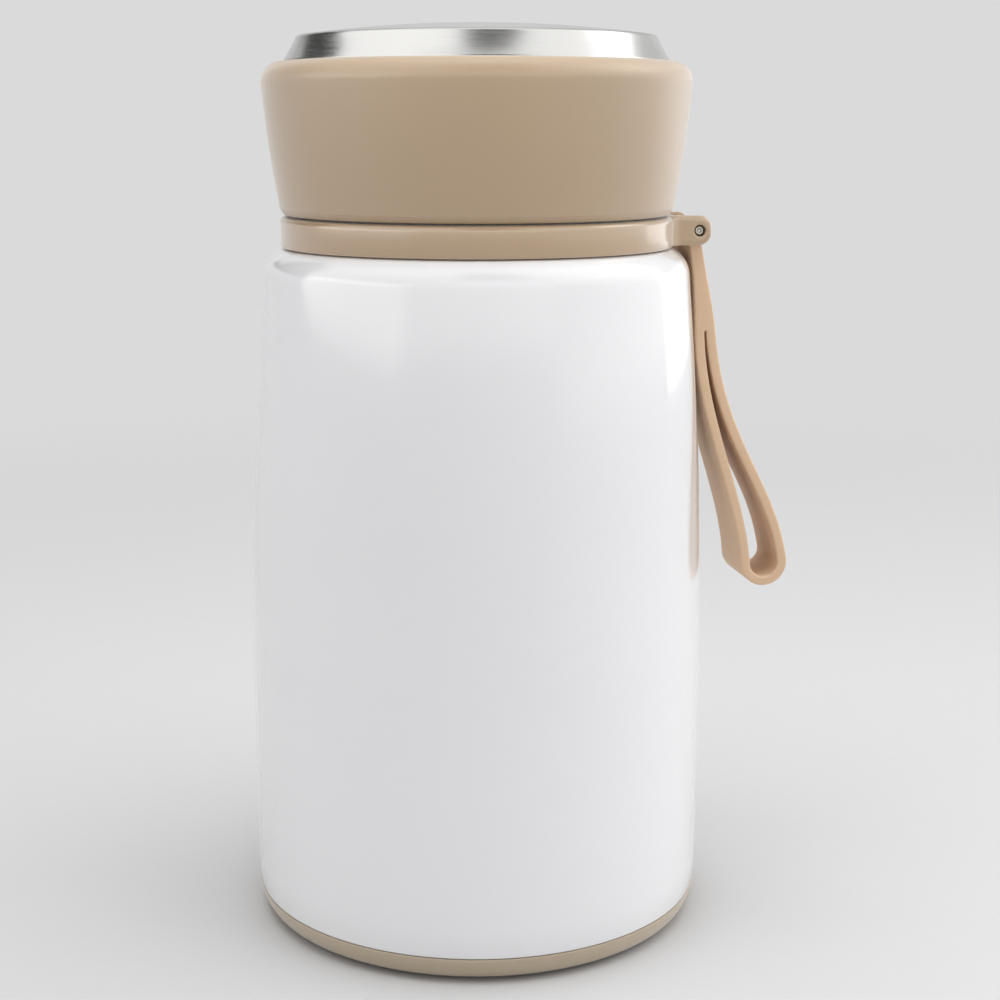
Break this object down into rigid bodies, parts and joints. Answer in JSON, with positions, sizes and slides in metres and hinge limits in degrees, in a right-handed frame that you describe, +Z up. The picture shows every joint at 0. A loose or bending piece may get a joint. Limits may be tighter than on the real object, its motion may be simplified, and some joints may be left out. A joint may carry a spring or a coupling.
{
  "type": "insulated food jar",
  "caption": "Vacuum-insulated steel food jar with a screw-on lid that turns over as a bowl, a screw-in vented stopper and a hinged silicone carry strap.",
  "frame": {"origin": "centre of the foot, on the surface the jar stands on", "axes": "+Z up along the jar's axis; the strap hangs on the +X side, its pin along Y"},
  "size_m": [0.12, 0.1, 0.194],
  "materials": {
    "white_lacquer": "gloss white lacquer",
    "plain_steel": "plain drawn stainless steel",
    "satin_steel": "fine satin spun finish",
    "pin_steel": "bright",
    "solder_glass": "fused",
    "getter_metal": "sintered",
    "copper_foil": "bright foil",
    "matte_beige": "fine matte texture",
    "gloss_beige": "gloss",
    "milk_plastic": "satin",
    "button_plastic": "semi-gloss",
    "strap_silicone": "soft matte silicone",
    "beige_silicone": "matte",
    "clear_silicone": "translucent matte",
    "white_foam": "closed-cell foam"
  },
  "bodies": {
    "flask": {"outer_shell": "white_lacquer", "shell_bottom": "plain_steel", "vacuum_solder": "solder_glass", "getter": "getter_metal", "inner_vessel": "plain_steel", "heat_shield": "copper_foil", "base_cap": "matte_beige", "base_pad": "beige_silicone", "neck_thread_ring": "milk_plastic", "collar": "gloss_beige", "strap_pin": "pin_steel"},
    "strap": {"strap": "strap_silicone"},
    "lid_lift": {"lid_seal": "clear_silicone"},
    "lid": {"lid_shell": "matte_beige", "lid_bowl": "satin_steel", "lid_thread_ring": "milk_plastic"},
    "stopper_lift": {"stopper_seal": "clear_silicone"},
    "stopper": {"stopper_body": "milk_plastic", "stopper_base": "milk_plastic", "stopper_foam": "white_foam", "stopper_cover": "matte_beige", "vent_spring": "pin_steel"},
    "vent": {"vent_button": "button_plastic", "vent_stem": "milk_plastic", "vent_disc": "clear_silicone"}
  },
  "joints": [
    {"name": "strap_swing", "type": "hinge", "parent": "flask", "child": "strap", "pos_m": [0.047, 0, 0.1514], "axis": [0, -1, 0], "range_deg": [0, 160]},
    {"name": "lid_rise", "type": "slide", "parent": "flask", "child": "lid_lift", "axis": [0, 0, 1], "range_m": [0, 0.0241]},
    {"name": "lid_turn", "type": "hinge", "parent": "lid_lift", "child": "lid", "pos_m": [0, 0, 0.155], "axis": [0, 0, 1], "range_deg": [0, 720]},
    {"name": "stopper_rise", "type": "slide", "parent": "flask", "child": "stopper_lift", "axis": [0, 0, 1], "range_m": [0, 0.0121]},
    {"name": "stopper_turn", "type": "hinge", "parent": "stopper_lift", "child": "stopper", "pos_m": [0, 0, 0.165], "axis": [0, 0, 1], "range_deg": [0, 540]},
    {"name": "vent_press", "type": "slide", "parent": "stopper", "child": "vent", "axis": [0, 0, -1], "range_m": [0, 0.002], "stiffness_N_per_m": 250, "springref_m": -0.004, "deforming": ["vent_spring"]}
  ],
  "couplings": [
    {"joint": "lid_rise", "follows": "lid_turn", "m_per_rad": 0.0019099},
    {"joint": "stopper_rise", "follows": "stopper_turn", "m_per_rad": 0.0012732}
  ]
}
